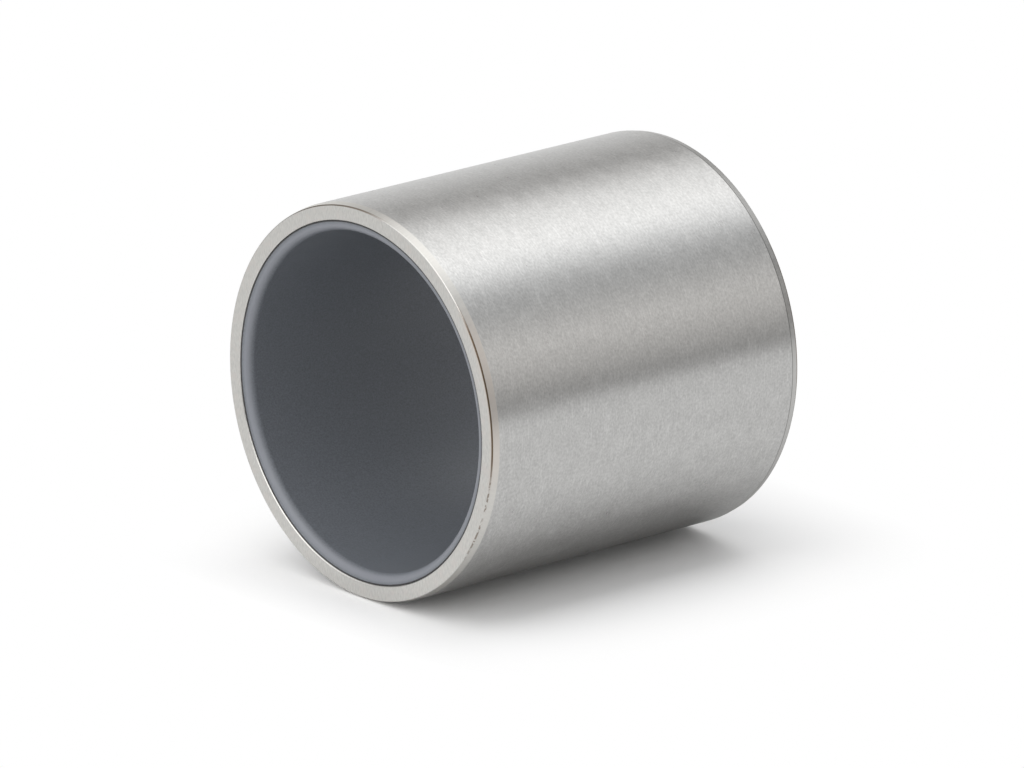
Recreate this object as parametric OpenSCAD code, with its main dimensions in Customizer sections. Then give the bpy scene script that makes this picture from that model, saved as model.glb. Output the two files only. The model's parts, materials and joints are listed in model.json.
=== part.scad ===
// Lined sleeve bearing: a turned and ground steel sleeve with a plain polymer liner in its bore.
// Millimetres. It stands on its end, with +Z along the bore and the origin at the bottom face's centre.

/* [Steel sleeve] */
// Outside diameter, ground to press into a housing
outer_d = 70; // [50:0.5:120]
// Length of the bearing from end face to end face
length = 70; // [20:0.5:140]
// Wall of the steel, from its own bore to its outside
sleeve_wall = 3; // [2:0.1:8]
// Length along the axis of the shallow lead-in chamfer at each end
lead_in_length = 1.5; // [0.6:0.1:4]
// Radial depth of the lead-in chamfer where it meets the end face
lead_in_depth = 0.3; // [0.1:0.02:0.8]
// Edge break where an end face meets the steel's own bore
bore_edge_break = 0.15; // [0.05:0.01:0.4]

/* [Liner] */
// Wall of the liner, from the running bore to the steel
liner_wall = 2; // [1.5:0.1:6]
// Depth of the liner's end below the steel end face
liner_recess = 0.15; // [0.05:0.01:1]
// Slope of the liner's end face, falling towards the bore, in degrees
lip_slope = 16; // [4:1:35]
// Radius that leads from the liner's end face into the bore
lip_radius = 1.5; // [0.3:0.05:1.6]
// Edge break round the outside of the liner's end face
liner_edge_break = 0.15; // [0.05:0.01:0.3]

/* [Hidden] */
$fn = 180;

// Radii of the outside, of the joint between steel and liner, and of the running bore
outer_r = outer_d / 2;
joint_r = outer_r - sleeve_wall;
bore_r = joint_r - liner_wall;
// Distance by which a cutting shape runs past the material that it cuts
past = 1;

// The lip's section is drawn from the corner where the steel's end face would meet the joint:
// x is negative towards the bore, and y is negative into the liner.
// Height of the liner's sloping end face at a distance x from the joint
function lip_height(x) = x * tan(lip_slope) - liner_recess;
// Centre of the lip's rounding, which touches both the bore and the sloping end face
lip_centre_x = lip_radius - liner_wall;
lip_centre_y = lip_height(lip_centre_x) - lip_radius / cos(lip_slope);

// Half section of the steel: a straight wall with a lead-in chamfer outside and a broken edge inside.
module sleeve_section() {
    polygon([
        [joint_r, bore_edge_break],
        [joint_r + bore_edge_break, 0],
        [outer_r - lead_in_depth, 0],
        [outer_r, lead_in_length],
        [outer_r, length - lead_in_length],
        [outer_r - lead_in_depth, length],
        [joint_r + bore_edge_break, length],
        [joint_r, length - bore_edge_break]
    ]);
}

// What the liner loses above its sloping end face and its outer edge break.
module end_face_cut() {
    break_height = lip_height(-liner_edge_break);
    polygon([
        [-liner_wall - past, lip_height(-liner_wall - past)],
        [-liner_edge_break, break_height],
        [0, break_height - liner_edge_break],
        [past, break_height - liner_edge_break],
        [past, past],
        [-liner_wall - past, past]
    ]);
}

// The corner between the sloping end face and the bore, outside the rounding.
module lip_corner_cut() {
    reach = lip_radius + past;
    translate([lip_centre_x, lip_centre_y])
        difference() {
            polygon([
                [0, 0],
                [-reach * sin(lip_slope), reach * cos(lip_slope)],
                [-reach, reach * cos(lip_slope)],
                [-reach, 0]
            ]);
            circle(r = lip_radius);
        }
}

// Half section of the liner: a straight wall with the same lip at both ends. The lip is drawn for the top
// end and mirrored for the bottom one.
module liner_section() {
    difference() {
        translate([bore_r, 0]) square([liner_wall, length]);
        for (end = [0, 1])
            translate([joint_r, end * length]) mirror([0, 1 - end]) {
                end_face_cut();
                lip_corner_cut();
            }
    }
}

// Steel sleeve, ground outside and turned on its end faces.
module outer_sleeve() {
    color([0.74, 0.73, 0.71]) rotate_extrude() sleeve_section();
}

// Polymer liner, fixed in the steel's bore and running on the shaft.
module bearing_liner() {
    color([0.26, 0.27, 0.29]) rotate_extrude() liner_section();
}

outer_sleeve();
bearing_liner();
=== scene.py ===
# %% [markdown]
# This lesson dresses a plain sleeve bearing: a steel sleeve with a dark polymer liner in its bore.
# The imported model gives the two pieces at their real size. It stands on its end, with +Z along the bore.
# Each piece is turned again here from a primitive, so that its edges have the small roundings that catch
# light, and then it gets its finish.

# %% Load the frame
import json
import math

import bmesh
import bpy
from mathutils import Matrix, Vector


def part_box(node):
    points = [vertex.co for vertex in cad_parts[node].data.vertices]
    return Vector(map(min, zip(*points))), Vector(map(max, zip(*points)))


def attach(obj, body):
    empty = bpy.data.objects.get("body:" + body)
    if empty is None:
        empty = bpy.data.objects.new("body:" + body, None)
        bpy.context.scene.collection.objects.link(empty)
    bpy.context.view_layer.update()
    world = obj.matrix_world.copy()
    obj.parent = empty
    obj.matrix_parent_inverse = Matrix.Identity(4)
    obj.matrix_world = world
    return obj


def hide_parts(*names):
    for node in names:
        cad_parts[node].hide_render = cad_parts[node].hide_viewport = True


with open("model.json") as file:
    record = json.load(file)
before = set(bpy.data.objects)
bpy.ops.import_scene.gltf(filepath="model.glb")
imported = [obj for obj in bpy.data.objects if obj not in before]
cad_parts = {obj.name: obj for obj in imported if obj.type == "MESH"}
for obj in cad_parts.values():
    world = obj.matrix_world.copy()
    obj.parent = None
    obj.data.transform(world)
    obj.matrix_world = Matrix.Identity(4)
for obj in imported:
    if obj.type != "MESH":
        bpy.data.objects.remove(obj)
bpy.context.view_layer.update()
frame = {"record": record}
MM = 0.001


# %% [markdown]
# The sizes come from the frame. A node's box gives its outside and its length, and the mounts in the record
# give the bore's radius and the straight stretch between the chamfers. The small sizes that neither states,
# such as the depth of a chamfer and the lip's radius, are written here as they are in the part's source.

# %% Read the sizes
mounts = {mount["name"]: mount for mount in frame["record"]["mounts"]}
sleeve_low, sleeve_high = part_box("outer_sleeve")
liner_low, liner_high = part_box("bearing_liner")
LENGTH = sleeve_high.z
OUTER_R = sleeve_high.x
JOINT_R = liner_high.x
BORE_R = mounts["shaft_bore"]["dims"]["r_mm"] * MM
LEAD_IN_LENGTH = (LENGTH - mounts["housing_fit"]["dims"]["length_mm"] * MM) / 2
LEAD_IN_DEPTH = 0.3 * MM
FACE_R = OUTER_R - LEAD_IN_DEPTH
EDGE_BREAK = 0.15 * MM
LINER_RECESS = 0.15 * MM
LIP_SLOPE = math.radians(16)
LIP_RADIUS = 1.5 * MM
print("outer, joint and bore radius", OUTER_R, JOINT_R, BORE_R, "length", LENGTH)

# %% [markdown]
# The photograph shows the bearing on its side, so its "up" is -Y of the frame, and the floor in it is the
# upright plane that touches the side at +Y. The camera is rolled to match. It is placed by the way the axis
# runs in the picture: turned to the right by one angle and rising by another. A long lens and a long
# distance keep the two ends almost the same size. A constraint could aim the camera at a point, but it
# would also set the roll, so the camera's three directions are worked out here. Both angles are in radians.

# %% Place the camera
LENS_MM = 421.875
SENSOR_MM = 36.0
CAMERA_DISTANCE = 58.76 * OUTER_R
AXIS_TURN = 0.8773
AXIS_RISE = 0.1956
FACE_LEFT = 0.7482 * OUTER_R
FACE_DOWN = 0.0965 * OUTER_R
TOP_CENTRE = Vector((0, 0, LENGTH))


def picture_axes():
    """The picture's right, down and forward directions, as vectors of the frame."""
    away = Vector((
        math.sin(AXIS_TURN) * math.cos(AXIS_RISE),
        -math.sin(AXIS_RISE),
        math.cos(AXIS_TURN) * math.cos(AXIS_RISE),
    ))
    pitch = math.atan2(-away.y, away.z)
    frame_z = -away
    frame_y = Vector((0, math.cos(pitch), math.sin(pitch)))
    frame_x = frame_y.cross(frame_z)
    to_picture = Matrix((frame_x, frame_y, frame_z))
    return [to_picture @ axis for axis in (Vector((1, 0, 0)), Vector((0, 1, 0)), Vector((0, 0, 1)))]


picture_right, picture_down, picture_forward = picture_axes()
camera_data = bpy.data.cameras.new("camera")
camera = bpy.data.objects.new("camera", camera_data)
bpy.context.scene.collection.objects.link(camera)
camera_data.sensor_width = SENSOR_MM
camera_data.lens = LENS_MM
camera_data.clip_start = 0.1
camera_data.clip_end = 20.0
camera.location = (
    TOP_CENTRE
    + FACE_LEFT * picture_right
    - FACE_DOWN * picture_down
    - CAMERA_DISTANCE * picture_forward
)
camera.rotation_euler = Matrix((picture_right, -picture_down, -picture_forward)).transposed().to_euler()
bpy.context.scene.camera = camera
print("camera at", [round(value, 4) for value in camera.location])

# %% [markdown]
# Node trees are built from a few small steps, such as one sum or one ramp, so each step has a helper here.

# %% Helpers for node trees
def connect(tree, value, socket):
    """Links an output to a socket, or writes a plain value into it."""
    if isinstance(value, bpy.types.NodeSocket):
        tree.links.new(value, socket)
    else:
        socket.default_value = value


def work_out(tree, operation, *values):
    """The result of a Math node on some values."""
    node = tree.nodes.new("ShaderNodeMath")
    node.operation = operation
    for value, socket in zip(values, node.inputs):
        connect(tree, value, socket)
    return node.outputs[0]


def times(tree, first, *others):
    """The product of some values."""
    product = first
    for other in others:
        product = work_out(tree, "MULTIPLY", product, other)
    return product


def carry_over(tree, value, low, high, new_low, new_high, blend="LINEAR"):
    """A value between low and high, carried over to new_low and new_high and held there."""
    node = tree.nodes.new("ShaderNodeMapRange")
    node.interpolation_type = blend
    for name, number in (
        ("Value", value), ("From Min", low), ("From Max", high), ("To Min", new_low), ("To Max", new_high),
    ):
        connect(tree, number, node.inputs[name])
    return node.outputs["Result"]


def tinted(level, warmth=0.0):
    """A grey of some level, made a little warmer, or cooler where warmth is negative."""
    return (level * (1 + warmth), level, level * (1 - warmth), 1)


def colour_ramp(tree, value, low, high, stops):
    """A ramp of colours over a value from low to high, with stops given as (value, colour)."""
    node = tree.nodes.new("ShaderNodeValToRGB")
    connect(tree, carry_over(tree, value, low, high, 0, 1), node.inputs["Fac"])
    elements = node.color_ramp.elements
    while len(elements) < len(stops):
        elements.new(0.5)
    for element, (place, colour) in zip(elements, stops):
        element.position = (place - low) / (high - low)
        element.color = colour
    return node.outputs["Color"]


def mix_colours(tree, share, first, second):
    """A Mix node that goes from the first colour to the second."""
    node = tree.nodes.new("ShaderNodeMix")
    node.data_type = "RGBA"
    share_socket, first_socket, second_socket = node.inputs[0], node.inputs[6], node.inputs[7]
    connect(tree, share, share_socket)
    connect(tree, first, first_socket)
    connect(tree, second, second_socket)
    return node.outputs[2]


def object_place(tree):
    """The three Object coordinates of a point, in metres."""
    place = tree.nodes.new("ShaderNodeTexCoord")
    split = tree.nodes.new("ShaderNodeSeparateXYZ")
    tree.links.new(place.outputs["Object"], split.inputs[0])
    return split.outputs


# %% [markdown]
# The stage is a floor of white paint that touches the bearing's side and keeps its shadow. White paint
# alone would look grey away from the lamp, and more light would spoil the metal. So away from the bearing
# the floor fades to a plain white for the camera, and for glossy and transmitted rays too, so that the
# metal shows the same floor. Where the bearing lies on it, no light gets in, and glossy rays find a share
# of that white too, so that the metal has no black line there. From behind the floor is clear, so that it
# hides nothing when the camera goes round.

# %% Make the floor
FLOOR_SIZE = 0.8
FLOOR_PAINT = 0.92
FADE_START = 25 * MM
FADE_SIDE = 30 * MM
FADE_FRONT = 15 * MM
FADE_BEHIND = 30 * MM
CONTACT_WIDTH = 14 * MM
CONTACT_SHARE = 0.15


def new_material(name):
    """A material with an empty node tree. Gives the material, its nodes and its links."""
    material = bpy.data.materials.new(name)
    material.use_nodes = True
    nodes = material.node_tree.nodes
    nodes.clear()
    return material, nodes, material.node_tree.links


def far_from_bearing(tree):
    """A value that goes from 0 on the floor near the bearing to 1 away from it."""
    across, along, _ = object_place(tree)
    off_side = work_out(tree, "ABSOLUTE", across)
    sideways = work_out(tree, "DIVIDE", work_out(tree, "SUBTRACT", off_side, FADE_START), FADE_SIDE)
    forward = work_out(tree, "DIVIDE", work_out(tree, "SUBTRACT", along, LENGTH / 2), FADE_FRONT)
    back = work_out(tree, "DIVIDE", work_out(tree, "SUBTRACT", -LENGTH / 2, along), FADE_BEHIND)
    sideways = work_out(tree, "MAXIMUM", sideways, 0)
    lengthways = work_out(tree, "MAXIMUM", work_out(tree, "MAXIMUM", forward, back), 0)
    squares = work_out(tree, "ADD", times(tree, sideways, sideways), times(tree, lengthways, lengthways))
    return work_out(tree, "MINIMUM", work_out(tree, "SQRT", squares), 1)


def near_contact(tree):
    """A value that goes from 1 on the line where the bearing lies to 0 a little beside it."""
    across, _, _ = object_place(tree)
    off_side = work_out(tree, "ABSOLUTE", across)
    return carry_over(tree, off_side, 0, CONTACT_WIDTH, 1, 0, "SMOOTHSTEP")


def floor_material():
    """White paint that fades to plain white away from the bearing, clear from behind."""
    material, nodes, links = new_material("floor_white")
    tree = material.node_tree
    output = nodes.new("ShaderNodeOutputMaterial")
    side = nodes.new("ShaderNodeNewGeometry")
    paint = nodes.new("ShaderNodeBsdfDiffuse")
    paint.inputs["Color"].default_value = (FLOOR_PAINT, FLOOR_PAINT, FLOOR_PAINT, 1)
    white = nodes.new("ShaderNodeEmission")
    white.inputs["Color"].default_value = (1, 1, 1, 1)
    ray = nodes.new("ShaderNodeLightPath")
    shown = work_out(
        tree, "MAXIMUM", ray.outputs["Is Camera Ray"],
        work_out(tree, "MAXIMUM", ray.outputs["Is Glossy Ray"], ray.outputs["Is Transmission Ray"]),
    )
    by_place = nodes.new("ShaderNodeMixShader")
    far = times(tree, shown, far_from_bearing(tree))
    near = times(tree, ray.outputs["Is Glossy Ray"], near_contact(tree), CONTACT_SHARE)
    connect(tree, work_out(tree, "MAXIMUM", far, near), by_place.inputs[0])
    links.new(paint.outputs[0], by_place.inputs[1])
    links.new(white.outputs[0], by_place.inputs[2])
    clear = nodes.new("ShaderNodeBsdfTransparent")
    by_side = nodes.new("ShaderNodeMixShader")
    links.new(side.outputs["Backfacing"], by_side.inputs[0])
    links.new(by_place.outputs[0], by_side.inputs[1])
    links.new(clear.outputs[0], by_side.inputs[2])
    links.new(by_side.outputs[0], output.inputs["Surface"])
    return material


bpy.ops.mesh.primitive_plane_add(
    size=FLOOR_SIZE,
    location=(0, OUTER_R, LENGTH / 2),
    rotation=(math.radians(90), 0, 0),
)
floor = bpy.context.active_object
floor.name = "floor"
floor.data.materials.append(floor_material())

# %% [markdown]
# Polished and ground metal shows its surroundings, so the light is mostly a matter of what stands round the
# bearing. Small bright metal is photographed in a tent of thin white cloth that is lit from outside, with the
# lens in a gap. A tent could be built from panels, but the steel only needs soft bands that run along it. So
# the tent here is a glowing ball. Behind the bearing its level goes by the angle round the axis, some bands
# a little warmer than others. In front it glows mostly from above, and one gradient along the axis goes
# over both. The camera looks through it, at a plain white world. A stop in BANDS or OVERHEAD is an angle
# in degrees, a level and a warmth. A stop in ALONG is a height, as a share of the tent's radius, and a
# level.

# %% Light the stage
BANDS = [
    (-180, 0.42, 0.006), (-172, 0.62, 0.015), (-165, 0.72, 0.018), (-150, 0.91, 0.018),
    (-140, 0.75, 0.012), (-128, 0.56, -0.006), (-118, 0.60, -0.012), (-110, 1.02, -0.010),
    (-100, 1.49, -0.006), (-92, 1.61, 0.0), (-82, 1.44, 0.0), (-74, 1.33, 0.0), (-66, 1.21, 0.003),
    (-56, 0.69, 0.010), (-46, 0.45, 0.012), (-36, 0.65, 0.010), (-22, 1.12, 0.0), (0, 1.46, 0.0),
    (40, 1.00, 0.0), (140, 0.83, 0.0), (172, 0.47, 0.006), (180, 0.44, 0.006),
]
OVERHEAD = [
    (-180, 0.18, 0.0), (-160, 0.18, 0.0), (-130, 1.0, 0.0), (-50, 1.0, 0.0), (-20, 0.3, 0.0),
    (0, 0.3, 0.0), (180, 0.05, 0.0),
]
ALONG = [
    (-1.0, 0.90), (-0.94, 0.50), (-0.84, 0.48), (-0.75, 0.95), (-0.62, 1.35), (-0.48, 1.25),
    (-0.33, 1.22), (-0.2, 0.80), (0.0, 0.90), (0.3, 1.05), (0.55, 1.80), (1.0, 2.50),
]
BEHIND_END = -0.2
FRONT_START = 0.0
TENT_RADIUS = 1.5
TENT_SEGMENTS = 64
TENT_RINGS = 32
LAMP_PLACE = (0.0, -0.85, 0.30)
LAMP_SIZE = 0.5
LAMP_POWER = 0.5


def white_world():
    """A plain white world."""
    world = bpy.data.worlds.new("studio")
    bpy.context.scene.world = world
    world.cycles.sampling_method = "NONE"
    world.use_nodes = True
    nodes = world.node_tree.nodes
    nodes.clear()
    output = nodes.new("ShaderNodeOutputWorld")
    white = nodes.new("ShaderNodeBackground")
    white.inputs["Color"].default_value = (1, 1, 1, 1)
    world.node_tree.links.new(white.outputs[0], output.inputs["Surface"])


def tent_material():
    """Lit cloth, with soft bands round the bearing's axis behind it and one light part above in front."""
    material, nodes, links = new_material("tent_cloth")
    material.cycles.emission_sampling = "NONE"
    tree = material.node_tree
    output = nodes.new("ShaderNodeOutputMaterial")
    x, y, z = object_place(tree)
    turn = work_out(tree, "DEGREES", work_out(tree, "ARCTAN2", y, x))
    rise = work_out(tree, "DIVIDE", z, TENT_RADIUS)
    cloth = nodes.new("ShaderNodeEmission")
    behind, overhead = (
        colour_ramp(tree, turn, -180, 180, [(angle, tinted(level, warmth)) for angle, level, warmth in stops])
        for stops in (BANDS, OVERHEAD)
    )
    in_front = carry_over(tree, rise, BEHIND_END, FRONT_START, 0, 1)
    connect(tree, mix_colours(tree, in_front, behind, overhead), cloth.inputs["Color"])
    along = [(height, tinted(level)) for height, level in ALONG]
    links.new(colour_ramp(tree, rise, -1, 1, along), cloth.inputs["Strength"])
    links.new(cloth.outputs[0], output.inputs["Surface"])
    return material


def pitch_tent():
    """The tent round the bearing's middle. The camera doesn't see it."""
    bpy.ops.object.select_all(action="DESELECT")
    bpy.ops.mesh.primitive_uv_sphere_add(
        segments=TENT_SEGMENTS, ring_count=TENT_RINGS, radius=TENT_RADIUS, location=(0, 0, LENGTH / 2),
    )
    tent = bpy.context.active_object
    tent.name = "tent"
    tent.visible_camera = False
    tent.data.materials.append(tent_material())


def hang_lamp():
    """A square soft lamp over the bearing, aimed at its middle."""
    data = bpy.data.lights.new("soft_top", "AREA")
    data.shape = "SQUARE"
    data.size = LAMP_SIZE
    data.energy = LAMP_POWER
    lamp = bpy.data.objects.new("soft_top", data)
    bpy.context.scene.collection.objects.link(lamp)
    lamp.location = LAMP_PLACE
    aim = Vector((0, 0, LENGTH / 2)) - lamp.location
    lamp.rotation_euler = aim.to_track_quat("-Z", "Y").to_euler()
    print("lamp at", LAMP_PLACE, "distance", round(aim.length, 3))


white_world()
pitch_tent()
hang_lamp()

# %% [markdown]
# Some small helpers for work in edit mode. A primitive comes selected all over, so what a tool acts on is
# always picked here by its place. What lies within TINY of a place counts as being there.

# %% Helpers for edit mode
TINY = 0.01 * MM
SHARP_ANGLE = math.radians(30)


def start_cylinder(name, radius, low, high, sides):
    """A closed cylinder on the Z axis from low to high, in edit mode."""
    bpy.ops.object.select_all(action="DESELECT")
    bpy.ops.mesh.primitive_cylinder_add(
        vertices=sides, radius=radius, depth=high - low,
        location=(0, 0, (low + high) / 2), end_fill_type="NGON",
    )
    piece = bpy.context.active_object
    piece.name = name
    bpy.ops.object.transform_apply(location=True, rotation=True, scale=True)
    bpy.ops.object.mode_set(mode="EDIT")
    return piece


def middle(part):
    """The middle of a vertex, an edge or a face."""
    corners = [part] if isinstance(part, bmesh.types.BMVert) else part.verts
    return sum((corner.co for corner in corners), Vector()) / len(corners)


def pick(piece, kind, test):
    """Selects the vertices, edges or faces whose middle passes the test, and prints how many."""
    bpy.ops.mesh.select_mode(type=kind)
    bpy.ops.mesh.select_all(action="DESELECT")
    mesh = bmesh.from_edit_mesh(piece.data)
    parts = {"VERT": mesh.verts, "EDGE": mesh.edges, "FACE": mesh.faces}[kind]
    count = 0
    for part in parts:
        if test(middle(part)):
            part.select_set(True)
            count += 1
    mesh.select_flush_mode()
    bmesh.update_edit_mesh(piece.data)
    print(piece.name, kind.lower(), "picked:", count)


def at(radius, *heights):
    """A test for points at a distance from the axis and at one of some heights."""
    def test(point):
        at_radius = abs(math.hypot(point.x, point.y) - radius) < TINY
        return at_radius and any(abs(point.z - height) < TINY for height in heights)
    return test


def hollow_out(piece, wall, low, high):
    """Turns a closed cylinder into a tube: both ends are inset by the wall and bridged through."""
    pick(piece, "FACE", at(0, low, high))
    bpy.ops.mesh.inset(thickness=wall)
    bpy.ops.mesh.bridge_edge_loops()


def round_edge(piece, radius, heights, width, steps):
    """Rounds the edges at a radius and at some heights by a width, in some steps."""
    pick(piece, "EDGE", at(radius, *heights))
    bpy.ops.mesh.bevel(offset=width, offset_type="OFFSET", segments=steps, profile=0.5)


def soften_edges(piece, width):
    """Rounds the sharp edges a very little, and keeps flat faces flat in the shading."""
    bpy.ops.object.mode_set(mode="OBJECT")
    bevel = piece.modifiers.new("small_rounding", "BEVEL")
    bevel.width = width
    bevel.segments = 2
    bevel.limit_method = "ANGLE"
    bevel.angle_limit = SHARP_ANGLE
    bpy.ops.object.modifier_apply(modifier=bevel.name)
    bpy.ops.object.shade_smooth()
    normals = piece.modifiers.new("flat_faces", "WEIGHTED_NORMAL")
    normals.mode = "FACE_AREA"
    normals.weight = 100
    bpy.ops.object.modifier_apply(modifier=normals.name)


# %% [markdown]
# The sleeve is a turned steel tube. It could be spun from a half section too, but made like this each step
# can be seen. A cylinder gives the bar, an inset and a bridge bore it out, and two cuts mark where the
# shallow lead-in chamfers begin. Then the end rings are drawn in. Deburring has rounded the edges of the
# chamfer, so these get a wider rounding than the others.

# %% Turn the sleeve
SIDES = 288
SLEEVE_ROUNDING = 0.04 * MM
FACE_EDGE_ROUNDING = 0.16 * MM
FACE_EDGE_STEPS = 4
OUTSIDE_EDGE_ROUNDING = 0.08 * MM
OUTSIDE_EDGE_STEPS = 2

sleeve = start_cylinder("steel_sleeve", OUTER_R, 0, LENGTH, SIDES)
hollow_out(sleeve, OUTER_R - JOINT_R, 0, LENGTH)
for height in (LEAD_IN_LENGTH, LENGTH - LEAD_IN_LENGTH):
    pick(sleeve, "FACE", lambda point: abs(math.hypot(point.x, point.y) - OUTER_R) < TINY)
    bpy.ops.mesh.bisect(plane_co=(0, 0, height), plane_no=(0, 0, 1))
pick(sleeve, "VERT", at(OUTER_R, 0, LENGTH))
draw_in = FACE_R / OUTER_R
bpy.ops.transform.resize(value=(draw_in, draw_in, 1), center_override=(0, 0, LENGTH / 2))
round_edge(
    sleeve, OUTER_R, [LEAD_IN_LENGTH, LENGTH - LEAD_IN_LENGTH], OUTSIDE_EDGE_ROUNDING, OUTSIDE_EDGE_STEPS,
)
round_edge(sleeve, FACE_R, [0, LENGTH], FACE_EDGE_ROUNDING, FACE_EDGE_STEPS)
round_edge(sleeve, JOINT_R, [0, LENGTH], EDGE_BREAK, 1)
soften_edges(sleeve, SLEEVE_ROUNDING)
print("sleeve faces", len(sleeve.data.polygons), "size", tuple(sleeve.dimensions))

# %% [markdown]
# The liner is a tube of polymer, fixed in the steel, that the shaft runs on. It is made the same way. Its
# inner rings are moved in along the bore, which gives the sloping end face. The lip's arc could be drawn
# and spun, but a wide bevel rounds it in one step. The round touches the slope and the bore, so the
# bevel's width follows from the lip's radius and the slope.

# %% Turn the liner
LIP_STEPS = 12
LINER_ROUNDING = 0.03 * MM
liner_wall = JOINT_R - BORE_R
liner_end = LENGTH - LINER_RECESS
lip_fall = liner_wall * math.tan(LIP_SLOPE)
lip_offset = LIP_RADIUS * math.tan((math.pi / 2 - LIP_SLOPE) / 2)

liner = start_cylinder("polymer_liner", JOINT_R, LINER_RECESS, liner_end, SIDES)
hollow_out(liner, liner_wall, LINER_RECESS, liner_end)
pick(liner, "VERT", at(BORE_R, liner_end))
bpy.ops.transform.translate(value=(0, 0, -lip_fall))
pick(liner, "VERT", at(BORE_R, LINER_RECESS))
bpy.ops.transform.translate(value=(0, 0, lip_fall))
round_edge(liner, BORE_R, [LINER_RECESS + lip_fall, liner_end - lip_fall], lip_offset, LIP_STEPS)
round_edge(liner, JOINT_R, [LINER_RECESS, liner_end], EDGE_BREAK, 1)
soften_edges(liner, LINER_ROUNDING)
print("liner faces", len(liner.data.polygons), "size", tuple(liner.dimensions))

# %% [markdown]
# The finishes of the ends and the liner depend on where a point lies on the bearing: how far from the axis,
# at what angle round it, how high and how far from the nearer end. A node group works this out once, from
# Object coordinates, so it stays true in any view. UV maps could do the same, but they would have to be
# unwrapped with care. Two more groups give fine marks and soft-edged bands, which the finishes use with
# values of their own.

# %% Groups for the finishes
NOISE_RANGE = (0.25, 0.75)


def new_group(name, inputs, outputs):
    """A shader node group with named sockets. Gives the group, its input node and its output node."""
    group = bpy.data.node_groups.new(name, "ShaderNodeTree")
    for label, kind, value in inputs:
        socket = group.interface.new_socket(label, in_out="INPUT", socket_type=kind)
        socket.default_value = value
    for label in outputs:
        group.interface.new_socket(label, in_out="OUTPUT", socket_type="NodeSocketFloat")
    return group, group.nodes.new("NodeGroupInput"), group.nodes.new("NodeGroupOutput")


def place_group():
    """Radius, height and distance from the nearer end in metres, and the angle round the axis in degrees."""
    group, start, end = new_group(
        "place_on_bearing",
        [("Length", "NodeSocketFloat", LENGTH)],
        ["Radius", "Angle", "Height", "From End"],
    )
    x, y, z = object_place(group)
    squares = work_out(group, "ADD", times(group, x, x), times(group, y, y))
    connect(group, work_out(group, "SQRT", squares), end.inputs["Radius"])
    turn = work_out(group, "DEGREES", work_out(group, "ARCTAN2", y, x))
    connect(group, work_out(group, "FLOORED_MODULO", turn, 360), end.inputs["Angle"])
    connect(group, z, end.inputs["Height"])
    other = work_out(group, "SUBTRACT", start.outputs["Length"], z)
    connect(group, work_out(group, "MINIMUM", z, other), end.inputs["From End"])
    return group


def marks_group():
    """Noise with its own size in each direction, for fine marks. Scale is one over the size in metres."""
    group, start, end = new_group(
        "fine_marks",
        [
            ("Rotation", "NodeSocketVector", (0, 0, 0)),
            ("Scale", "NodeSocketVector", (1, 1, 1)),
            ("Detail", "NodeSocketFloat", 1.0),
        ],
        ["Marks"],
    )
    here = group.nodes.new("ShaderNodeTexCoord")
    mapping = group.nodes.new("ShaderNodeMapping")
    group.links.new(here.outputs["Object"], mapping.inputs["Vector"])
    group.links.new(start.outputs["Rotation"], mapping.inputs["Rotation"])
    group.links.new(start.outputs["Scale"], mapping.inputs["Scale"])
    noise = group.nodes.new("ShaderNodeTexNoise")
    noise.inputs["Scale"].default_value = 1.0
    group.links.new(mapping.outputs["Vector"], noise.inputs["Vector"])
    group.links.new(start.outputs["Detail"], noise.inputs["Detail"])
    connect(group, carry_over(group, noise.outputs["Fac"], *NOISE_RANGE, 0, 1), end.inputs["Marks"])
    return group


def band_group():
    """A mask that is 1 near a value and fades out beside it."""
    group, start, end = new_group(
        "soft_band",
        [
            ("Value", "NodeSocketFloat", 0.0),
            ("Middle", "NodeSocketFloat", 0.0),
            ("Half Width", "NodeSocketFloat", 1.0),
            ("Fade", "NodeSocketFloat", 1.0),
        ],
        ["Mask"],
    )
    off = work_out(group, "SUBTRACT", start.outputs["Value"], start.outputs["Middle"])
    distance = work_out(group, "ABSOLUTE", off)
    edge = work_out(group, "ADD", start.outputs["Half Width"], start.outputs["Fade"])
    mask = carry_over(group, distance, start.outputs["Half Width"], edge, 1, 0, "SMOOTHSTEP")
    connect(group, mask, end.inputs["Mask"])
    return group


PLACE = place_group()
MARKS = marks_group()
BAND = band_group()
print("node groups", [group.name for group in bpy.data.node_groups])

# %% [markdown]
# The finishes are built by the same few steps: place a group, mix, set up the shader and add a bump. Steel
# also gets a tint for a grazing angle. It is well below white here, which keeps the lower side of the
# sleeve dark, as in the photograph.

# %% Helpers for the finishes
STEEL_EDGE = (0.55, 0.55, 0.55, 1)


def use_group(tree, group, **values):
    """Places a node group with its own values. A name's underscore stands for a space."""
    node = tree.nodes.new("ShaderNodeGroup")
    node.node_tree = group
    for name, value in values.items():
        connect(tree, value, node.inputs[name.replace("_", " ")])
    return node


def per_mm(*sizes):
    """Scale values for marks whose sizes are given in millimetres."""
    return tuple(1 / (size * MM) for size in sizes)


def marks(tree, sizes, turn=(0, 0, 0), detail=2.0):
    """Fine marks of some sizes in millimetres, as values from 0 to 1."""
    return use_group(tree, MARKS, Rotation=turn, Scale=per_mm(*sizes), Detail=detail).outputs["Marks"]


def band(tree, value, centre, half_width, fade):
    """A mask that is 1 where the value is near the centre and fades out beside it."""
    return use_group(tree, BAND, Value=value, Middle=centre, Half_Width=half_width, Fade=fade).outputs["Mask"]


def start_finish(name):
    """A material with a Principled shader. Gives the material, its tree and the shader."""
    material, nodes, links = new_material(name)
    output = nodes.new("ShaderNodeOutputMaterial")
    shader = nodes.new("ShaderNodeBsdfPrincipled")
    links.new(shader.outputs[0], output.inputs["Surface"])
    return material, material.node_tree, shader


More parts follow.
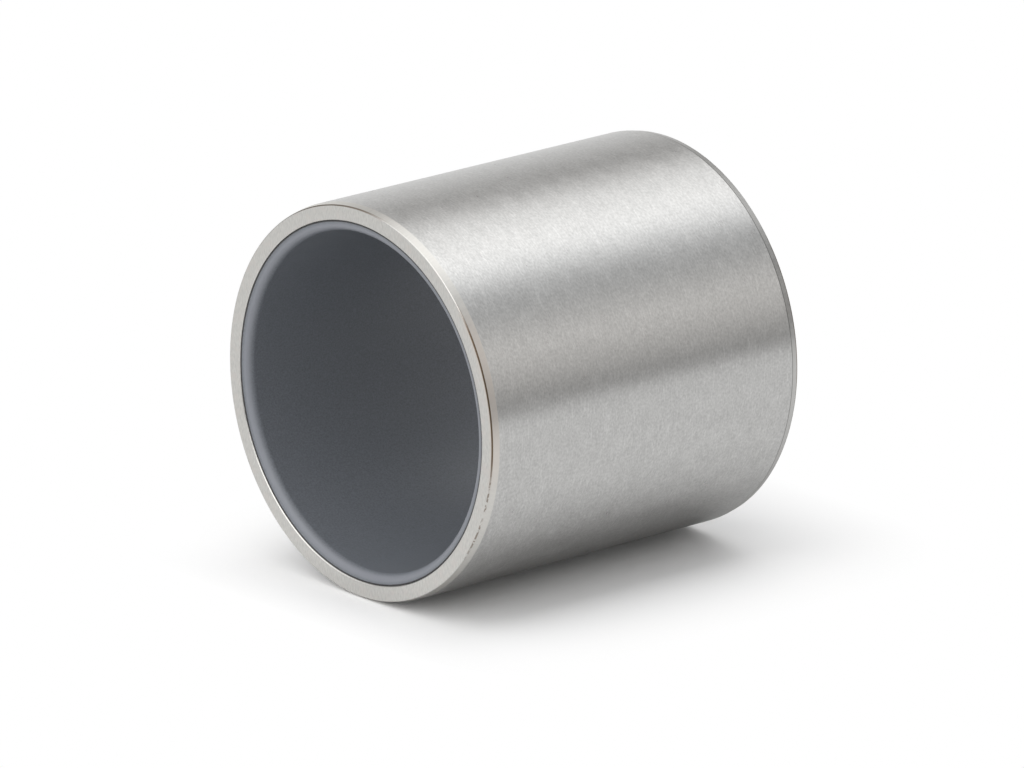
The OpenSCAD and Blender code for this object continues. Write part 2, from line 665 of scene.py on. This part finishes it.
def make_steel(shader):
    """Makes the shader a metal that reflects less at a grazing angle."""
    shader.inputs["Metallic"].default_value = 1.0
    shader.inputs["Specular Tint"].default_value = STEEL_EDGE


def raise_surface(tree, shader, height, strength, distance):
    """Feeds the shader's normal with a bump of some strength and distance."""
    bump = tree.nodes.new("ShaderNodeBump")
    bump.inputs["Strength"].default_value = strength
    bump.inputs["Distance"].default_value = distance
    connect(tree, height, bump.inputs["Height"])
    tree.links.new(bump.outputs[0], shader.inputs["Normal"])


# %% [markdown]
# The outside is ground: a wheel leaves fine, short marks that run round the steel. They spread a reflection
# along the bearing and hardly round it, which is anisotropic roughness. The marks themselves show as a faint
# grain, with softer clouds under it and a few slanting scratches. A picture of real steel could be wrapped
# round the sleeve instead, but noise has no seam and stays sharp from close by.

# %% Finish the ground outside
STEEL_DARK = (0.40, 0.398, 0.391, 1)
STEEL_LIGHT = (0.625, 0.621, 0.611, 1)
GRAIN_SIZES = (0.5, 0.5, 0.34)
CLOUD_SIZES = (3.5, 3.5, 2.5)
SCRATCH_SIZES = (2.5, 2.5, 0.3)
SCRATCH_TURN = (math.radians(35), math.radians(20), 0)
SCRATCH_RANGE = (0.66, 0.85)
GRAIN_SHARE = 0.65
CLOUD_SHARE = 0.35
SCRATCH_SHARE = 0.2
GROUND_ROUGHNESS = (0.27, 0.33)
GRINDING = 0.8
QUARTER_TURN = 0.25
GRAIN_BUMP = 0.8
GRAIN_HEIGHT = 0.01 * MM


def ground_steel():
    """Satin steel with a grain that runs round the axis."""
    material, tree, shader = start_finish("ground_steel")
    grain = marks(tree, GRAIN_SIZES)
    clouds = marks(tree, CLOUD_SIZES, detail=3.0)
    scratches = carry_over(tree, marks(tree, SCRATCH_SIZES, SCRATCH_TURN, 1.0), *SCRATCH_RANGE, 0, 1)
    level = work_out(tree, "MULTIPLY_ADD", grain, GRAIN_SHARE, times(tree, clouds, CLOUD_SHARE))
    level = work_out(tree, "MULTIPLY_ADD", scratches, SCRATCH_SHARE, level)
    connect(tree, mix_colours(tree, level, STEEL_DARK, STEEL_LIGHT), shader.inputs["Base Color"])
    connect(tree, carry_over(tree, clouds, 0, 1, *GROUND_ROUGHNESS), shader.inputs["Roughness"])
    make_steel(shader)
    shader.inputs["Anisotropic"].default_value = GRINDING
    shader.inputs["Anisotropic Rotation"].default_value = QUARTER_TURN
    round_axis = tree.nodes.new("ShaderNodeTangent")
    round_axis.direction_type = "RADIAL"
    round_axis.axis = "Z"
    tree.links.new(round_axis.outputs[0], shader.inputs["Tangent"])
    raise_surface(tree, shader, level, GRAIN_BUMP, GRAIN_HEIGHT)
    return material


# %% [markdown]
# The end faces and the lead-in chamfers are turned and then left as they are, so the steel is warmer and
# lighter there, with short tool marks. The top chamfer is painted lighter and the bottom one greyer, as
# painted light and shade for the bright and dark surroundings each one reflects. A dark line is painted where
# the bottom one meets the outside: a painted dark reflection of that edge. A thin brown line is left where an
# end face and its chamfer meet, on part of the way round only. It could be cut as a groove, but on the real
# bearing it is a stain, so it is painted by its place, and at the top it has a faint rosy halo.

# %% Finish the turned ends
END_DARK = (0.52, 0.514, 0.493, 1)
END_LIGHT = (0.68, 0.671, 0.643, 1)
END_ROSE = (0.643, 0.601, 0.571, 1)
TOOL_MARK_SIZES = (0.22, 0.9, 1.0)
TOOL_MARK_TURN = (0, 0, math.radians(25))
ROSE_SIZES = (1.6, 1.6, 1.6)
ROSE_SHARE = 0.5
TURNED_ROUGHNESS = (0.30, 0.38)
TOOL_MARK_BUMP = 0.2
TOOL_MARK_HEIGHT = 0.01 * MM
# Painted light and shade: the top chamfer is painted lighter and the bottom one greyer, for what each one
# reflects.
TOP_CHAMFER_PAINTED_LIGHT = (0.62, 0.605, 0.575, 1)
BOTTOM_CHAMFER_PAINTED_SHADE = (0.48, 0.48, 0.475, 1)
CHAMFER_SHARE = 0.6
CHAMFER_BLEND = 0.02 * MM
# Painted shade: a dark line where the bottom chamfer meets the outside, a painted dark reflection of that
# edge.
PAINTED_EDGE_SHADE = (0.20, 0.197, 0.19, 1)
PAINTED_EDGE_SHADE_SHARE = 0.8
PAINTED_EDGE_SHADE_INSET = 0.08 * MM
PAINTED_EDGE_SHADE_WIDTH = 0.07 * MM
PAINTED_EDGE_SHADE_FADE = 0.08 * MM


def turned_colour(tree, tool_marks):
    """Warm steel between dark and light, rosy in places."""
    steel = mix_colours(tree, tool_marks, END_DARK, END_LIGHT)
    rosy = carry_over(tree, marks(tree, ROSE_SIZES), 0.5, 1, 0, ROSE_SHARE)
    return mix_colours(tree, rosy, steel, END_ROSE)


def with_chamfers(tree, place, at_top, steel):
    """The steel's colour with the chamfers in painted light and shade, and a painted dark edge beside the
    bottom one.
    """
    on_chamfer = carry_over(tree, place.outputs["Radius"], FACE_R, FACE_R + CHAMFER_BLEND, 0, 1)
    # The top chamfer gets painted light and the bottom one painted shade.
    chamfer = mix_colours(tree, at_top, BOTTOM_CHAMFER_PAINTED_SHADE, TOP_CHAMFER_PAINTED_LIGHT)
    steel = mix_colours(tree, times(tree, on_chamfer, CHAMFER_SHARE), steel, chamfer)
    # A painted dark reflection along the bottom chamfer's edge with the outside.
    painted_edge_shade_mask = band(
        tree, place.outputs["Height"], LEAD_IN_LENGTH - PAINTED_EDGE_SHADE_INSET, PAINTED_EDGE_SHADE_WIDTH, PAINTED_EDGE_SHADE_FADE,
    )
    return mix_colours(tree, times(tree, painted_edge_shade_mask, on_chamfer, PAINTED_EDGE_SHADE_SHARE), steel, PAINTED_EDGE_SHADE)


# %% [markdown]
# The stain has three parts round the axis: an unbroken one, a dotted one beside it and a fainter one. Each is
# a soft band over the angle, with its middle, half width and fade in degrees, and it shows only in the
# narrow band where face and chamfer meet. A thin curve could be laid there too, but it would stand proud
# of the steel.

# %% Stain the edge
STAIN = (0.15, 0.11, 0.075, 1)
STAIN_HALO = (0.66, 0.58, 0.52, 1)
UNBROKEN_STAIN = (195, 17, 14)
DOTTED_STAIN = (164, 14, 14)
FAINT_STAIN = (281, 12, 14)
FAINT_SHARE = 0.8
SPECK_SIZES = (0.6, 0.6, 0.6)
SPECK_RANGE = (0.33, 0.6)
SPECK_SHARE = 0.7
STAIN_INSET = 0.02 * MM
STAIN_WIDTH = 0.06 * MM
STAIN_FADE = 0.12 * MM
STAIN_DEPTH = 0.2 * MM
STAIN_DEPTH_FADE = 0.1 * MM
HALO_WIDTH = 0.1 * MM
HALO_FADE = 0.8 * MM
HALO_SHARE = 0.4


def with_stain(tree, place, at_top, steel):
    """The steel's colour with the brown line and its halo laid over it."""
    radius, angle = place.outputs["Radius"], place.outputs["Angle"]
    unbroken, dotted, faint = (
        band(tree, angle, *part) for part in (UNBROKEN_STAIN, DOTTED_STAIN, FAINT_STAIN)
    )
    halo = times(tree, band(tree, radius, FACE_R, HALO_WIDTH, HALO_FADE), unbroken, at_top, HALO_SHARE)
    steel = mix_colours(tree, halo, steel, STAIN_HALO)
    specks = carry_over(tree, marks(tree, SPECK_SIZES, detail=1.0), *SPECK_RANGE, 0, SPECK_SHARE)
    stained = work_out(tree, "MAXIMUM", unbroken, times(tree, dotted, specks))
    stained = work_out(tree, "MAXIMUM", stained, times(tree, faint, FAINT_SHARE))
    face_edge = band(tree, radius, FACE_R - STAIN_INSET, STAIN_WIDTH, STAIN_FADE)
    at_end = band(tree, place.outputs["From End"], 0.0, STAIN_DEPTH, STAIN_DEPTH_FADE)
    return mix_colours(tree, times(tree, face_edge, at_end, stained), steel, STAIN)


def turned_steel():
    """Warm steel with short tool marks, two chamfers in painted light and shade, and a stained edge."""
    material, tree, shader = start_finish("turned_steel")
    place = use_group(tree, PLACE)
    at_top = carry_over(tree, place.outputs["Height"], LENGTH / 2, LENGTH / 2 + MM, 0, 1)
    tool_marks = marks(tree, TOOL_MARK_SIZES, TOOL_MARK_TURN)
    steel = with_chamfers(tree, place, at_top, turned_colour(tree, tool_marks))
    connect(tree, with_stain(tree, place, at_top, steel), shader.inputs["Base Color"])
    connect(tree, carry_over(tree, tool_marks, 0, 1, *TURNED_ROUGHNESS), shader.inputs["Roughness"])
    make_steel(shader)
    raise_surface(tree, shader, tool_marks, TOOL_MARK_BUMP, TOOL_MARK_HEIGHT)
    return material


# %% [markdown]
# The liner is a filled polymer, slate grey and matte, with a very fine speckle from its filler. A lighter
# ring is painted on the lip where its rounding catches the light: a painted highlight. Shade gathers in the
# narrow joint to the steel, so the outer edge of the liner is painted darker there as painted shade. One
# plain grey would do from afar, but from close by it looks like paint, so the grey follows the speckle and
# the place.

# %% Finish the liner
SLATE_DARK = (0.118, 0.128, 0.143, 1)
SLATE_LIGHT = (0.175, 0.188, 0.210, 1)
SPECKLE_SIZES = (0.3, 0.3, 0.3)
SPECKLE_BUMP = 0.15
SPECKLE_HEIGHT = 0.02 * MM
SLATE_ROUGHNESS = (0.42, 0.52)
# Painted highlight: a lighter ring on the lip where its rounding catches the light.
LIP_PAINTED_HIGHLIGHT = (0.205, 0.215, 0.240, 1)
LIP_PAINTED_HIGHLIGHT_INSET = 1.15 * MM
LIP_PAINTED_HIGHLIGHT_WIDTH = 0.2 * MM
LIP_PAINTED_HIGHLIGHT_FADE = 0.7 * MM
# Painted shade in the narrow joint to the steel.
JOINT_SHADE = (0.04, 0.04, 0.042, 1)
JOINT_SHADE_WIDTH = 0.24 * MM
JOINT_SHADE_FADE = 0.08 * MM


def slate_polymer():
    """Matte slate-grey polymer with a fine speckle, a painted highlight on the lip and painted shade at the
    joint.
    """
    material, tree, shader = start_finish("slate_polymer")
    radius = use_group(tree, PLACE).outputs["Radius"]
    speckle = marks(tree, SPECKLE_SIZES)
    slate = mix_colours(tree, speckle, SLATE_DARK, SLATE_LIGHT)
    # Painted highlight on the lip.
    lip = band(tree, radius, JOINT_R - LIP_PAINTED_HIGHLIGHT_INSET, LIP_PAINTED_HIGHLIGHT_WIDTH, LIP_PAINTED_HIGHLIGHT_FADE)
    slate = mix_colours(tree, lip, slate, LIP_PAINTED_HIGHLIGHT)
    # Painted shade at the joint to the steel.
    joint = band(tree, radius, JOINT_R, JOINT_SHADE_WIDTH, JOINT_SHADE_FADE)
    connect(tree, mix_colours(tree, joint, slate, JOINT_SHADE), shader.inputs["Base Color"])
    connect(tree, carry_over(tree, speckle, 0, 1, *SLATE_ROUGHNESS), shader.inputs["Roughness"])
    raise_surface(tree, shader, speckle, SPECKLE_BUMP, SPECKLE_HEIGHT)
    return material


# %% [markdown]
# The sleeve has two finishes. The faces between its chamfers take the ground one, and all others the turned
# one, so they are picked by their place and given their slot.

# %% Give the finishes to the pieces
def give_outside(piece, slot):
    """Gives a material slot to the straight outside between the chamfers."""
    count = 0
    for face in piece.data.polygons:
        on_outside = math.hypot(face.center.x, face.center.y) > OUTER_R - 2 * TINY
        if on_outside and LEAD_IN_LENGTH < face.center.z < LENGTH - LEAD_IN_LENGTH:
            face.material_index = slot
            count += 1
    print(piece.name, "ground faces", count)


sleeve.data.materials.append(turned_steel())
sleeve.data.materials.append(ground_steel())
give_outside(sleeve, 1)
liner.data.materials.append(slate_polymer())

# %% [markdown]
# Both pieces ride on the one body and stand for their CAD nodes.

# %% Join the frame and finish
for piece, node, slot in (
    (sleeve, "outer_sleeve", "steel"),
    (liner, "bearing_liner", "liner"),
):
    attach(piece, "root")
    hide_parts(node)

bpy.context.scene.view_settings.view_transform = "Standard"
